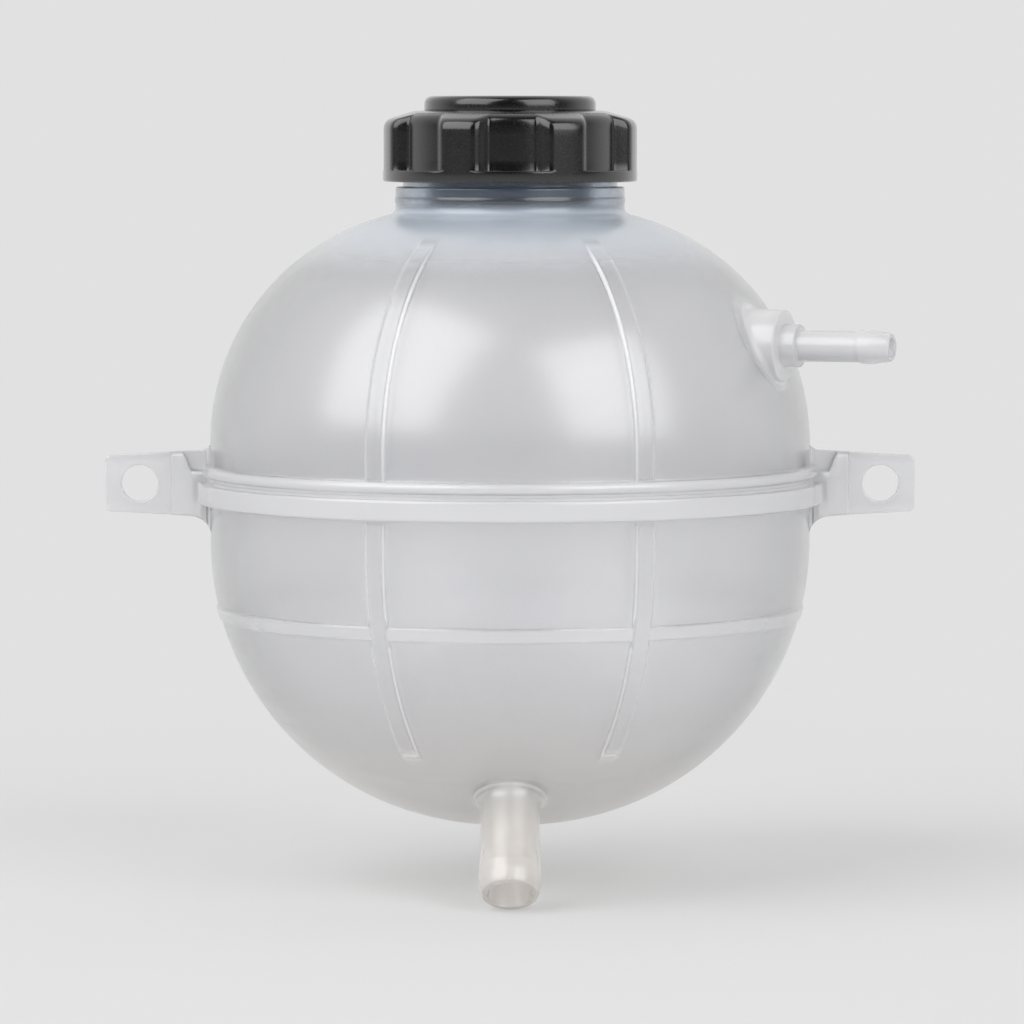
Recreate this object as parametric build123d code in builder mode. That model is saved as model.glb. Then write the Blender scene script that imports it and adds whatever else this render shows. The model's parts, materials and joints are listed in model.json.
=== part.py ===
from build123d import *
import os
from math import cos, radians, sin, sqrt

os.makedirs("parts", exist_ok=True)

# Coolant expansion tank, in millimetres.
# The origin lies midway between the two lug holes, on the axis of the ball, with +Z up.
# The outlet leans toward -Y and the vent nipple points to the right, toward +X.

# Ball: a dome and a bowl with one wall, each an arc that rises from a straight belt
ball_r = 78.0
shell_wall = 3.0
dome_arc_r = 60.8
dome_spring_z = 10.7
bowl_arc_r = 73.8
bowl_spring_z = -15.0

# Weld flange round the equator: a round bead on the dome, a flat band on the bowl
seam_z = 1.3
weld_r = 79.3
weld_step = 0.7
bead_r = 80.3
bead_h = 2.9
band_r = 81.4
band_bottom_z = -4.7
band_edge_r = 0.7

# Straps: thin meridian ribs on the outside of both halves
strap_w = 5.0
strap_proud = 1.0
strap_swing = 25.4
strap_top_z = 64.7
strap_bottom_z = -67.5

# Level ring moulded round the bowl
ring_z = -33.3
ring_h = 3.4
ring_proud = 0.5

# Side lugs
lug_hole_x = 96.5
lug_hole_r = 4.75
lug_tip_x = 105.4
lug_tip_h = 14.6
lug_root_h = 17.7
lug_t = 4.0
lug_corner_r = 1.5
lug_top_blend = 3.2
lug_under_blend = 5.0
lug_bar_inset = 0.6
gusset_end_x = 88.2
gusset_end_t = 7.0
gusset_root_t = 20.0
gusset_arc_r = 16.0
gusset_notch_x = 84.9
gusset_notch_z = 3.0
gusset_notch_r = 4.5

# Neck: collar, short guide ring and the core that carries the screw thread
collar_r = 29.75
collar_top_z = 77.1
collar_edge_r = 0.5
shoulder_blend = 2.2
guide_r = 27.9
guide_h = 1.8
neck_r = 26.0
neck_bore_r = 22.5
rim_z = 88.5
rim_edge_r = 0.6

# Vent nipple on its boss, level, turned from +X toward the outlet's side
vent_z = 37.0
vent_azimuth = -23.0
vent_boss_r = 9.2
vent_boss_d = 76.2
vent_boss_wall = 2.9
vent_root_blend = 2.0
vent_collar_r = 5.5
vent_collar_len = 4.2
vent_r = 4.0
vent_len = 28.8
vent_bead_r = 4.3
vent_ramp_len = 1.0
vent_land_len = 3.0
vent_tip_len = 5.0
vent_tip_taper = 0.7
vent_bore_r = 2.4

# Outlet stub, leaning from straight down toward -Y
outlet_lean = 40.0
outlet_root_y = -43.3
outlet_len = 28.7
outlet_r = 7.55
outlet_bead_r = 8.0
outlet_ramp_len = 5.0
outlet_land_len = 3.0
outlet_lip_len = 3.5
outlet_lip_r = 7.1
outlet_lip_round = 0.8
outlet_bore_r = 5.75
outlet_root_blend = 4.0

# Cap: seven grip lobes on a closed band, domed top
cap_r = 33.05
cap_gap = 1.3
cap_band_h = 3.0
lobe_count = 7
recess_r = 29.4
recess_floor_half = 11.0
recess_mouth_half = 15.2
lobe_edge_r = 1.8
recess_edge_r = 1.0
cap_shoulder_z = 94.3
cap_crown_r = 25.0
cap_crown_z = 96.7
cap_top_z = 96.9
cap_top_blend = 1.6
cap_roof_t = 2.2
guide_clear = 0.3
presser_w = 2.0
presser_slot_count = 6
presser_slot_w = 4.0
presser_slot_h = 1.2

# Disc that closes the top of the cap
disc_r = 22.3
disc_h = 3.7
disc_edge_r = 1.2
disc_shell_t = 1.6
disc_plug_r = 5.0
disc_plug_h = 1.4
disc_plug_clear = 0.1

# Valve housing in the neck
gasket_t = 1.5
gasket_clear = 0.4
gasket_w = 3.0
housing_r = 21.3
housing_bore_r = 18.0
housing_flange_r = 27.4
housing_flange_t = 1.8
housing_bottom_z = 62.5
housing_floor_t = 2.0
port_r = 9.0
seat_w = 1.2
seat_h = 0.8
guide_rib_count = 6
guide_rib_w = 1.6
guide_rib_h = 11.0
guide_rib_clear = 0.3

# Ring that ties the cap to the housing and lets it turn
retainer_in_r = 26.4
retainer_t = 1.7
retainer_play = 0.1
retainer_clear = 0.05

# O-rings on the housing
oring_wire_r = 1.3
oring_clear = 0.2
oring_groove_clear = 0.1
oring_groove_w = 3.0
upper_oring_z = 82.5
lower_oring_z = 72.5

# Cover over the spring chamber and the clip above it
cover_pocket_r = 20.0
cover_clear = 0.2
cover_z = 86.0
cover_t = 2.2
cover_boss_r = 8.6
cover_boss_h = 4.0
cover_wall = 1.4
vent_hole_r = 1.6
vent_hole_ring_r = 13.6
vent_hole_count = 8
clip_t = 1.2
clip_w = 2.4

# Pressure valve: plate, seal and spring
seal_t = 1.5
seal_in_r = 6.4
seal_w = 5.4
plate_t = 2.0
plate_lip_w = 1.6
plate_lip_drop = 1.1
plate_guide_r = 7.6
plate_guide_wall = 1.3
plate_guide_h = 6.0
fit_clear = 0.1
spring_r = 10.6
spring_wire_r = 0.8
spring_turns = 4.5
spring_end_clear = 0.1

# Vacuum valve: stem with its head, seal, spring and washer
stem_r = 1.4
stem_hole_r = 2.4
stem_head_r = 5.2
stem_head_t = 1.2
stem_top_len = 1.0
stem_barb_r = 1.9
vacuum_seal_t = 0.9
vacuum_seal_r = 4.8
vacuum_spring_r = 3.1
vacuum_spring_wire_r = 0.25
vacuum_spring_turns = 4.0
vacuum_spring_len = 4.4
washer_t = 0.8
washer_r = 4.4

# How far a block that joins or cuts another runs past its surface
overrun = 1.0

# Levels that follow from the sizes above
cap_bottom_z = collar_top_z + cap_gap
flange_bottom_z = rim_z + gasket_t
flange_top_z = flange_bottom_z + housing_flange_t
cap_roof_z = cap_crown_z - cap_roof_t
cap_bore_r = guide_r + guide_clear
seat_z = housing_bottom_z + housing_floor_t + seat_h
plate_z = seat_z + seal_t
plate_top_z = plate_z + plate_t
head_top_z = plate_z - vacuum_seal_t
washer_z = plate_top_z + vacuum_spring_len
flange_root_r = ball_r - overrun
plate_r = seal_in_r + seal_w + fit_clear + plate_lip_w
bowl_z_of_root = bowl_spring_z - sqrt(
    bowl_arc_r**2 - (-outlet_root_y - (ball_r - bowl_arc_r)) ** 2
)
strap_azimuths = [-90 - strap_swing, -90 + strap_swing, 90 - strap_swing, 90 + strap_swing]


def half_ball_face(radius, arc_r, spring_z, way):
    """Half section of the dome (way 1) or the bowl (way -1): belt, arc, axis.

    The arc ends on a flat crown, or on the axis itself where its radius is the larger one.
    """
    crown_r = max(radius - arc_r, 0)
    crown_z = spring_z + way * sqrt(arc_r**2 - (crown_r - radius + arc_r) ** 2)
    with BuildSketch(Plane.XZ) as face:
        with BuildLine():
            Line((0, seam_z), (radius, seam_z))
            Line((radius, seam_z), (radius, spring_z))
            TangentArc((radius, spring_z), (crown_r, crown_z), tangent=(0, way))
            if crown_r > 0:
                Line((crown_r, crown_z), (0, crown_z))
            Line((0, crown_z), (0, seam_z))
        make_face()
    return face.sketch


def ring_face(inner_r, outer_r, bottom_z, top_z):
    """Rectangle in the XZ plane that revolves to a ring."""
    with BuildSketch(Plane.XZ) as face:
        with Locations(((inner_r + outer_r) / 2, (bottom_z + top_z) / 2)):
            Rectangle(outer_r - inner_r, top_z - bottom_z)
    return face.sketch


def outline_face(plane, points):
    """Closed face through the given points of a plane."""
    with BuildSketch(plane) as face:
        with BuildLine():
            Polyline(*points, close=True)
        make_face()
    return face.sketch


def axis_distance(edge):
    """How far the middle of an edge lies from the axis of the ball."""
    middle = edge @ 0.5
    return sqrt(middle.X**2 + middle.Y**2)


def coil_spring(mean_r, wire_r, bottom_z, top_z, turns):
    """Round wire wound about +Z between two levels."""
    low = bottom_z + wire_r
    rise = top_z - wire_r - low
    with BuildPart() as spring:
        with BuildLine() as path:
            Helix(pitch=rise / turns, height=rise, radius=mean_r, center=(0, 0, low))
        with BuildSketch(Plane(origin=path.line @ 0, z_dir=path.line % 0)):
            Circle(wire_r)
        sweep(path=path.line, is_frenet=True)
    return spring.part


def straps(face, low_z, high_z):
    """Four meridian straps cut from a body of revolution between two levels."""
    with BuildPart() as blank:
        revolve(face, axis=Axis.Z)
        with BuildSketch(Plane.XY.offset(low_z)):
            for azimuth in strap_azimuths:
                with PolarLocations(ball_r / 2, 1, start_angle=azimuth):
                    Rectangle(1.2 * ball_r, strap_w)
        extrude(amount=high_z - low_z, mode=Mode.INTERSECT)
    return blank.part


# Outer section of the dome with its neck: the shoulder arc touches the dome and the collar
dome_centre_r = ball_r - dome_arc_r
shoulder_centre_r = collar_r + shoulder_blend
shoulder_reach = dome_arc_r + shoulder_blend
shoulder_z = dome_spring_z + sqrt(shoulder_reach**2 - (shoulder_centre_r - dome_centre_r) ** 2)
shoulder_share = dome_arc_r / shoulder_reach
shoulder_foot = (
    dome_centre_r + shoulder_share * (shoulder_centre_r - dome_centre_r),
    dome_spring_z + shoulder_share * (shoulder_z - dome_spring_z),
)
guide_top_z = collar_top_z + guide_h

with BuildSketch(Plane.XZ) as dome_section:
    with BuildLine():
        Line((0, seam_z), (ball_r, seam_z))
        Line((ball_r, seam_z), (ball_r, dome_spring_z))
        TangentArc((ball_r, dome_spring_z), shoulder_foot, tangent=(0, 1))
        TangentArc((collar_r, shoulder_z), shoulder_foot, tangent=(0, -1))
        Polyline(
            (collar_r, shoulder_z),
            (collar_r, collar_top_z - collar_edge_r),
            (collar_r - collar_edge_r, collar_top_z),
            (guide_r, collar_top_z),
            (guide_r, guide_top_z),
            (neck_r, guide_top_z),
            (neck_r, rim_z - rim_edge_r),
            (neck_r - rim_edge_r, rim_z),
            (0, rim_z),
            (0, seam_z),
        )
    make_face()
dome_face = dome_section.sketch

# Inner section of the dome, and both sections of the bowl
dome_room = half_ball_face(ball_r - shell_wall, dome_arc_r - shell_wall, dome_spring_z, 1)
bowl_face = half_ball_face(ball_r, bowl_arc_r, bowl_spring_z, -1)
bowl_room = half_ball_face(ball_r - shell_wall, bowl_arc_r - shell_wall, bowl_spring_z, -1)
dome_strap_face = half_ball_face(
    ball_r + strap_proud, dome_arc_r + strap_proud, dome_spring_z, 1
)
bowl_strap_face = half_ball_face(
    ball_r + strap_proud, bowl_arc_r + strap_proud, bowl_spring_z, -1
)
bowl_ring_face = half_ball_face(ball_r + ring_proud, bowl_arc_r + ring_proud, bowl_spring_z, -1)

# Lug on the +X side, whole: a flat plate with a thicker gusset at its root
lug_inner_x = ball_r - shell_wall / 2
lug_bar_x = ball_r - lug_bar_inset
lug_bar_h = lug_root_h + 2 * (lug_top_blend + lug_under_blend)

with BuildSketch(Plane.XZ) as lug_side:
    with BuildLine():
        Polyline(
            (lug_inner_x, -lug_root_h / 2),
            (lug_tip_x, -lug_tip_h / 2),
            (lug_tip_x, lug_tip_h / 2),
            (lug_inner_x, lug_root_h / 2),
            close=True,
        )
    make_face()
    fillet(lug_side.vertices().group_by(Axis.X)[-1], lug_corner_r)
    with Locations(((lug_inner_x + lug_bar_x) / 2, lug_top_blend - lug_under_blend)):
        Rectangle(lug_bar_x - lug_inner_x, lug_bar_h)
    lug_corners = [
        corner
        for corner in lug_side.vertices()
        if abs(corner.X - lug_bar_x) < 0.01 and abs(corner.Y) < lug_root_h / 2
    ]
    fillet([corner for corner in lug_corners if corner.Y > 0], lug_top_blend)
    fillet([corner for corner in lug_corners if corner.Y < 0], lug_under_blend)

# The gusset's top drops to a notch beside the ball, where only the plate stands up
with BuildSketch(Plane.XZ) as gusset_notch:
    with BuildLine():
        Polyline(
            (lug_inner_x - shell_wall, gusset_notch_z),
            (gusset_notch_x, gusset_notch_z),
            (gusset_notch_x, lug_bar_h),
            (lug_inner_x - shell_wall, lug_bar_h),
            close=True,
        )
    make_face()
    fillet(gusset_notch.vertices().group_by(Axis.X)[-1].sort_by(Axis.Y)[0], gusset_notch_r)

with BuildPart() as lug_gusset:
    extrude(lug_side.sketch, amount=gusset_root_t, both=True)
    with BuildSketch(Plane.XY):
        with BuildLine():
            Line((gusset_end_x, -gusset_end_t / 2), (gusset_end_x, gusset_end_t / 2))
            RadiusArc(
                (gusset_end_x, gusset_end_t / 2), (lug_inner_x, gusset_root_t / 2), -gusset_arc_r
            )
            Line((lug_inner_x, gusset_root_t / 2), (lug_inner_x, -gusset_root_t / 2))
            RadiusArc(
                (lug_inner_x, -gusset_root_t / 2), (gusset_end_x, -gusset_end_t / 2), -gusset_arc_r
            )
        make_face()
    extrude(amount=lug_bar_h, both=True, mode=Mode.INTERSECT)
    extrude(gusset_notch.sketch, amount=gusset_root_t, both=True, mode=Mode.SUBTRACT)

with BuildPart() as lug:
    extrude(lug_side.sketch, amount=lug_t / 2, both=True)
    add(lug_gusset.part)
    with Locations(Location((lug_hole_x, 0, 0), (90, 0, 0))):
        Hole(radius=lug_hole_r, depth=gusset_root_t)

# The dome carries the part of each lug's root above the seam, the bowl all the rest
with BuildPart() as lug_over_seam:
    with Locations((gusset_end_x, 0, seam_z)):
        Box(
            2 * ball_r,
            gusset_root_t,
            lug_bar_h,
            align=(Align.MAX, Align.CENTER, Align.MIN),
        )
    add(lug.part, mode=Mode.INTERSECT)

with BuildPart() as lug_under_seam:
    add(lug.part)
    with Locations((gusset_end_x, 0, seam_z)):
        Box(
            2 * ball_r,
            gusset_root_t,
            lug_bar_h,
            align=(Align.MAX, Align.CENTER, Align.MIN),
            mode=Mode.SUBTRACT,
        )

# Vent nipple: its plane's X runs outward along the nipple
vent_x = cos(radians(vent_azimuth))
vent_y = sin(radians(vent_azimuth))
vent_plane = Plane(origin=(0, 0, vent_z), x_dir=(vent_x, vent_y, 0), z_dir=(vent_y, -vent_x, 0))
vent_axis = Axis((0, 0, vent_z), (vent_x, vent_y, 0))
vent_start = ball_r / 2
vent_neck_d = vent_boss_d + vent_collar_len
vent_end = vent_boss_d + vent_len
vent_land_d = vent_end - vent_tip_len

vent_boss_face = outline_face(
    vent_plane,
    [(vent_start, 0), (vent_start, vent_boss_r), (vent_boss_d, vent_boss_r), (vent_boss_d, 0)],
)
vent_nipple_face = outline_face(
    vent_plane,
    [
        (vent_boss_d - overrun, 0),
        (vent_boss_d - overrun, vent_collar_r),
        (vent_neck_d, vent_collar_r),
        (vent_neck_d, vent_r),
        (vent_land_d - vent_land_len - vent_ramp_len, vent_r),
        (vent_land_d - vent_land_len, vent_bead_r),
        (vent_land_d, vent_bead_r),
        (vent_end, vent_bead_r - vent_tip_taper),
        (vent_end, 0),
    ],
)
vent_bore_face = outline_face(
    vent_plane,
    [
        (vent_start, 0),
        (vent_start, vent_boss_r - vent_boss_wall),
        (vent_boss_d - vent_boss_wall, vent_boss_r - vent_boss_wall),
        (vent_boss_d - vent_boss_wall, vent_bore_r),
        (vent_end + overrun, vent_bore_r),
        (vent_end + overrun, 0),
    ],
)

# Outlet stub: its plane's X runs outward along the stub from the root on the bowl
outlet_y = -sin(radians(outlet_lean))
outlet_z = -cos(radians(outlet_lean))
outlet_origin = (0, outlet_root_y, bowl_z_of_root)
outlet_plane = Plane(origin=outlet_origin, x_dir=(0, outlet_y, outlet_z), z_dir=(1, 0, 0))
outlet_axis = Axis(outlet_origin, (0, outlet_y, outlet_z))
outlet_inner_d = -shell_wall - outlet_r
outlet_land_d = outlet_len - outlet_lip_len

outlet_face = outline_face(
    outlet_plane,
    [
        (outlet_inner_d, 0),
        (outlet_inner_d, outlet_r),
        (outlet_land_d - outlet_land_len - outlet_ramp_len, outlet_r),
        (outlet_land_d - outlet_land_len, outlet_bead_r),
        (outlet_land_d, outlet_bead_r),
        (outlet_len - outlet_lip_round, outlet_lip_r + outlet_lip_round / 2),
        (outlet_len, outlet_lip_r),
        (outlet_len, 0),
    ],
)
outlet_bore_face = outline_face(
    outlet_plane,
    [
        (outlet_inner_d, 0),
        (outlet_inner_d, outlet_bore_r),
        (outlet_len + overrun, outlet_bore_r),
        (outlet_len + overrun, 0),
    ],
)

# Upper shell: dome, bead, straps, lug roots, neck and vent nipple in one moulding
upper_straps = straps(dome_strap_face, seam_z, strap_top_z)

with BuildPart() as upper_shell:
    revolve(dome_face, axis=Axis.Z)
    revolve(vent_boss_face, axis=vent_axis)
    fillet(
        upper_shell.edges()
        .filter_by(GeomType.BSPLINE)
        .sort_by_distance((vent_boss_d * vent_x, vent_boss_d * vent_y, vent_z))[0],
        vent_root_blend,
    )
    revolve(ring_face(flange_root_r, weld_r, seam_z, seam_z + weld_step), axis=Axis.Z)
    with BuildSketch(Plane.XZ) as bead_face:
        with Locations((bead_r - bead_h / 2, seam_z + weld_step + bead_h / 2)):
            Circle(bead_h / 2)
        with Locations(((flange_root_r + bead_r - bead_h / 2) / 2, seam_z + weld_step + bead_h / 2)):
            Rectangle(bead_r - bead_h / 2 - flange_root_r, bead_h)
    revolve(bead_face.sketch, axis=Axis.Z)
    add(upper_straps)
    add(lug_over_seam.part)
    mirror(lug_over_seam.part, about=Plane.YZ)
    revolve(vent_nipple_face, axis=vent_axis)
    revolve(dome_room, axis=Axis.Z, mode=Mode.SUBTRACT)
    with BuildSketch(Plane.XY.offset(dome_spring_z)):
        Circle(neck_bore_r)
    extrude(amount=rim_z - dome_spring_z, mode=Mode.SUBTRACT)
    revolve(vent_bore_face, axis=vent_axis, mode=Mode.SUBTRACT)
upper_shell.part.label = "upper_shell"
export_step(upper_shell.part, "parts/upper_shell.step")

# Lower shell: bowl, band, straps, level ring, lugs and outlet stub in one moulding
lower_straps = straps(bowl_strap_face, strap_bottom_z, seam_z)

with BuildPart() as level_ring:
    revolve(bowl_ring_face, axis=Axis.Z)
    with BuildSketch(Plane.XY.offset(ring_z - ring_h / 2)):
        Circle(2 * ball_r)
    extrude(amount=ring_h, mode=Mode.INTERSECT)

with BuildPart() as lower_shell:
    revolve(bowl_face, axis=Axis.Z)
    revolve(outlet_face, axis=outlet_axis)
    fillet(
        lower_shell.edges()
        .filter_by(GeomType.BSPLINE)
        .sort_by_distance(outlet_origin)[0],
        outlet_root_blend,
    )
    with BuildSketch(Plane.XZ) as band_face:
        with Locations(((flange_root_r + band_r) / 2, (seam_z - weld_step + band_bottom_z) / 2)):
            Rectangle(band_r - flange_root_r, seam_z - weld_step - band_bottom_z)
        fillet(band_face.vertices().group_by(Axis.X)[-1], band_edge_r)
    revolve(band_face.sketch, axis=Axis.Z)
    revolve(ring_face(flange_root_r, weld_r, seam_z - weld_step, seam_z), axis=Axis.Z)
    add(lower_straps)
    add(level_ring.part)
    add(lug_under_seam.part)
    mirror(lug_under_seam.part, about=Plane.YZ)
    revolve(bowl_room, axis=Axis.Z, mode=Mode.SUBTRACT)
    revolve(outlet_bore_face, axis=outlet_axis, mode=Mode.SUBTRACT)
lower_shell.part.label = "lower_shell"
export_step(lower_shell.part, "parts/lower_shell.step")

# Cap shell: body of revolution with seven recesses between its lobes
cap_body_face = outline_face(
    Plane.XZ,
    [
        (0, cap_bottom_z),
        (cap_r, cap_bottom_z),
        (cap_r, cap_shoulder_z),
        (cap_crown_r, cap_crown_z),
        (disc_r, cap_top_z),
        (0, cap_top_z),
    ],
)
cap_room_face = outline_face(
    Plane.XZ,
    [
        (0, cap_bottom_z),
        (cap_bore_r, cap_bottom_z),
        (cap_bore_r, cap_roof_z - cap_roof_t),
        (cap_bore_r - cap_roof_t, cap_roof_z),
        (0, cap_roof_z),
    ],
)

# One recess in plan: a floor at the recess radius and sides that open outward
mouth_r = cap_r + 2 * overrun
mouth_half = recess_mouth_half + (recess_mouth_half - recess_floor_half) * (mouth_r - cap_r) / (
    cap_r - recess_r
)
floor_x = recess_r * cos(radians(recess_floor_half))
floor_y = recess_r * sin(radians(recess_floor_half))
mouth_x = mouth_r * cos(radians(mouth_half))
mouth_y = mouth_r * sin(radians(mouth_half))
recess_face = outline_face(
    Plane.XY,
    [
        (recess_r / 2, 0),
        (floor_x, -floor_y),
        (mouth_x, -mouth_y),
        (mouth_r * 1.1, 0),
        (mouth_x, mouth_y),
        (floor_x, floor_y),
    ],
)

with BuildSketch(Plane.XY.offset(cap_bottom_z + cap_band_h)) as recess_plan:
    with PolarLocations(0, lobe_count, start_angle=-90):
        add(recess_face)
    Circle(recess_r, mode=Mode.SUBTRACT)

with BuildPart() as cap_shell:
    revolve(cap_body_face, axis=Axis.Z)
    extrude(recess_plan.sketch, amount=cap_top_z - cap_bottom_z, mode=Mode.SUBTRACT)
    lobe_edges = cap_shell.edges().filter_by(Axis.Z).filter_by(
        lambda edge: edge.center().Z > cap_bottom_z + cap_band_h
    )
    fillet(lobe_edges.filter_by(lambda edge: axis_distance(edge) > cap_r - 0.1), lobe_edge_r)
    floor_edges = cap_shell.edges().filter_by(Axis.Z).filter_by(
        lambda edge: abs(axis_distance(edge) - recess_r) < 0.1
    )
    fillet(floor_edges, recess_edge_r)
    cone = cap_shell.faces().filter_by(GeomType.CONE).sort_by(Axis.Z)
    fillet(cone.sort_by(SortBy.AREA)[-1].outer_wire().edges(), cap_top_blend)
    revolve(cap_room_face, axis=Axis.Z, mode=Mode.SUBTRACT)
    revolve(
        ring_face(
            neck_bore_r + presser_w,
            neck_bore_r + 2 * presser_w,
            flange_top_z,
            cap_roof_z + cap_roof_t / 2,
        ),
        axis=Axis.Z,
    )
    with BuildSketch(Plane.XY.offset(flange_top_z)):
        with PolarLocations(neck_bore_r + 1.5 * presser_w, presser_slot_count):
            Rectangle(2 * presser_w, presser_slot_w)
    extrude(amount=presser_slot_h, mode=Mode.SUBTRACT)
    with BuildSketch(Plane.XY.offset(cap_top_z - disc_plug_h - disc_plug_clear)):
        Circle(disc_plug_r + disc_plug_clear)
    extrude(amount=disc_plug_h + disc_plug_clear, mode=Mode.SUBTRACT)
cap_shell.part.label = "cap_shell"
export_step(cap_shell.part, "parts/cap_shell.step")

# Top disc: a shallow dish upside down with a plug that snaps into the cap shell
with BuildPart() as cap_top_disc:
    with BuildSketch(Plane.XY.offset(cap_top_z)):
        Circle(disc_r)
    extrude(amount=disc_h)
    fillet(cap_top_disc.faces().sort_by(Axis.Z)[-1].edges(), disc_edge_r)
    with BuildSketch(Plane.XY.offset(cap_top_z)):
        Circle(disc_r - disc_shell_t)
    extrude(amount=disc_h - disc_shell_t, mode=Mode.SUBTRACT)
    with BuildSketch(Plane.XY.offset(cap_top_z - disc_plug_h)):
        Circle(disc_plug_r)
    extrude(amount=disc_plug_h + disc_h - disc_shell_t / 2)
cap_top_disc.part.label = "cap_top_disc"
export_step(cap_top_disc.part, "parts/cap_top_disc.step")

# Retaining ring in the cap's bore, under the rim of the housing
with BuildPart() as cap_retaining_ring:
    revolve(
        ring_face(
            retainer_in_r,
            cap_bore_r - retainer_clear,
            flange_bottom_z - retainer_play - retainer_t,
            flange_bottom_z - retainer_play,
        ),
        axis=Axis.Z,
    )
    chamfer(
        cap_retaining_ring.edges().group_by(Axis.Z)[0].sort_by(SortBy.RADIUS)[0],
        retainer_t / 4,
    )
cap_retaining_ring.part.label = "cap_retaining_ring"
export_step(cap_retaining_ring.part, "parts/cap_retaining_ring.step")

# Rim gasket between the neck and the flange of the housing
with BuildPart() as rim_gasket:
    revolve(
        ring_face(
            neck_bore_r + gasket_clear,
            neck_bore_r + gasket_clear + gasket_w,
            rim_z,
            flange_bottom_z,
        ),
        axis=Axis.Z,
    )
rim_gasket.part.label = "rim_gasket"
export_step(rim_gasket.part, "parts/rim_gasket.step")

# Valve housing: flanged sleeve with two O-ring grooves, ribs that guide the plate, and a floor
# with the port and its raised seat
oring_out_r = neck_bore_r - oring_clear
oring_mean_r = oring_out_r - oring_wire_r
oring_groove_r = oring_out_r - 2 * oring_wire_r - oring_groove_clear
oring_levels = {"upper_o_ring": upper_oring_z, "lower_o_ring": lower_oring_z}

with BuildPart() as valve_housing:
    revolve(ring_face(0, housing_r, housing_bottom_z, flange_bottom_z), axis=Axis.Z)
    chamfer(valve_housing.faces().sort_by(Axis.Z)[0].edges(), shell_wall / 2)
    revolve(ring_face(0, housing_flange_r, flange_bottom_z, flange_top_z), axis=Axis.Z)
    revolve(
        ring_face(0, housing_bore_r, housing_bottom_z + housing_floor_t, flange_top_z),
        axis=Axis.Z,
        mode=Mode.SUBTRACT,
    )
    guide_in_r = plate_r + guide_rib_clear
    with BuildSketch(Plane.XY.offset(housing_bottom_z + housing_floor_t)):
        with PolarLocations((guide_in_r + housing_bore_r + overrun) / 2, guide_rib_count):
            Rectangle(housing_bore_r + overrun - guide_in_r, guide_rib_w)
        Circle(guide_in_r, mode=Mode.SUBTRACT)
    extrude(amount=guide_rib_h)
    revolve(
        ring_face(0, cover_pocket_r, cover_z, flange_top_z),
        axis=Axis.Z,
        mode=Mode.SUBTRACT,
    )
    for level in oring_levels.values():
        revolve(
            ring_face(
                oring_groove_r,
                housing_r + overrun,
                level - oring_groove_w / 2,
                level + oring_groove_w / 2,
            ),
            axis=Axis.Z,
            mode=Mode.SUBTRACT,
        )
    revolve(
        ring_face(port_r, port_r + seat_w, housing_bottom_z + housing_floor_t / 2, seat_z),
        axis=Axis.Z,
    )
    revolve(
        ring_face(0, port_r, housing_bottom_z, seat_z),
        axis=Axis.Z,
        mode=Mode.SUBTRACT,
    )
valve_housing.part.label = "valve_housing"
export_step(valve_housing.part, "parts/valve_housing.step")

# O-rings
for name, level in oring_levels.items():
    with BuildPart() as o_ring:
        with BuildSketch(Plane.XZ):
            with Locations((oring_mean_r, level)):
                Circle(oring_wire_r)
        revolve(axis=Axis.Z)
    o_ring.part.label = name
    export_step(o_ring.part, "parts/" + name + ".step")

# Spring cover: disc on the ledge of the housing, with a ring that centres the spring and vent holes
cover_r = cover_pocket_r - cover_clear

with BuildPart() as spring_cover:
    revolve(ring_face(0, cover_r, cover_z, cover_z + cover_t), axis=Axis.Z)
    revolve(
        ring_face(cover_boss_r - cover_wall, cover_boss_r, cover_z - cover_boss_h, cover_z),
        axis=Axis.Z,
    )
    with BuildSketch(Plane.XY.offset(cover_z)):
        with PolarLocations(vent_hole_ring_r, vent_hole_count):
            Circle(vent_hole_r)
        Circle(vent_hole_r)
    extrude(amount=cover_t, mode=Mode.SUBTRACT)
spring_cover.part.label = "spring_cover"
export_step(spring_cover.part, "parts/spring_cover.step")

# Clip that holds the cover down: a split ring
with BuildPart() as cover_clip:
    revolve(
        ring_face(cover_r - clip_w, cover_r, cover_z + cover_t, cover_z + cover_t + clip_t),
        axis=Axis.Z,
    )
    with Locations((0, cover_r, cover_z + cover_t + clip_t / 2)):
        Box(clip_w, 3 * clip_w, 2 * clip_t, mode=Mode.SUBTRACT)
cover_clip.part.label = "cover_clip"
export_step(cover_clip.part, "parts/cover_clip.step")

# Pressure valve seal: flat ring on the seat
with BuildPart() as pressure_valve_seal:
    revolve(ring_face(seal_in_r, seal_in_r + seal_w, seat_z, plate_z), axis=Axis.Z)
pressure_valve_seal.part.label = "pressure_valve_seal"
export_step(pressure_valve_seal.part, "parts/pressure_valve_seal.step")

# Pressure valve plate: dished plate with a lip round the seal and a tube that guides the spring
with BuildPart() as pressure_valve_plate:
    revolve(ring_face(0, plate_r, plate_z, plate_top_z), axis=Axis.Z)
    revolve(
        ring_face(plate_r - plate_lip_w, plate_r, plate_z - plate_lip_drop, plate_z),
        axis=Axis.Z,
    )
    revolve(
        ring_face(
            plate_guide_r - plate_guide_wall,
            plate_guide_r,
            plate_top_z,
            plate_top_z + plate_guide_h,
        ),
        axis=Axis.Z,
    )
    chamfer(pressure_valve_plate.faces().sort_by(Axis.Z)[-1].edges(), plate_guide_wall / 4)
    revolve(
        ring_face(0, stem_hole_r, plate_z, plate_top_z),
        axis=Axis.Z,
        mode=Mode.SUBTRACT,
    )
pressure_valve_plate.part.label = "pressure_valve_plate"
export_step(pressure_valve_plate.part, "parts/pressure_valve_plate.step")

pressure_spring = coil_spring(
    spring_r,
    spring_wire_r,
    plate_top_z + spring_end_clear,
    cover_z - spring_end_clear,
    spring_turns,
)
pressure_spring.label = "pressure_spring"
export_step(pressure_spring, "parts/pressure_spring.step")

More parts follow.
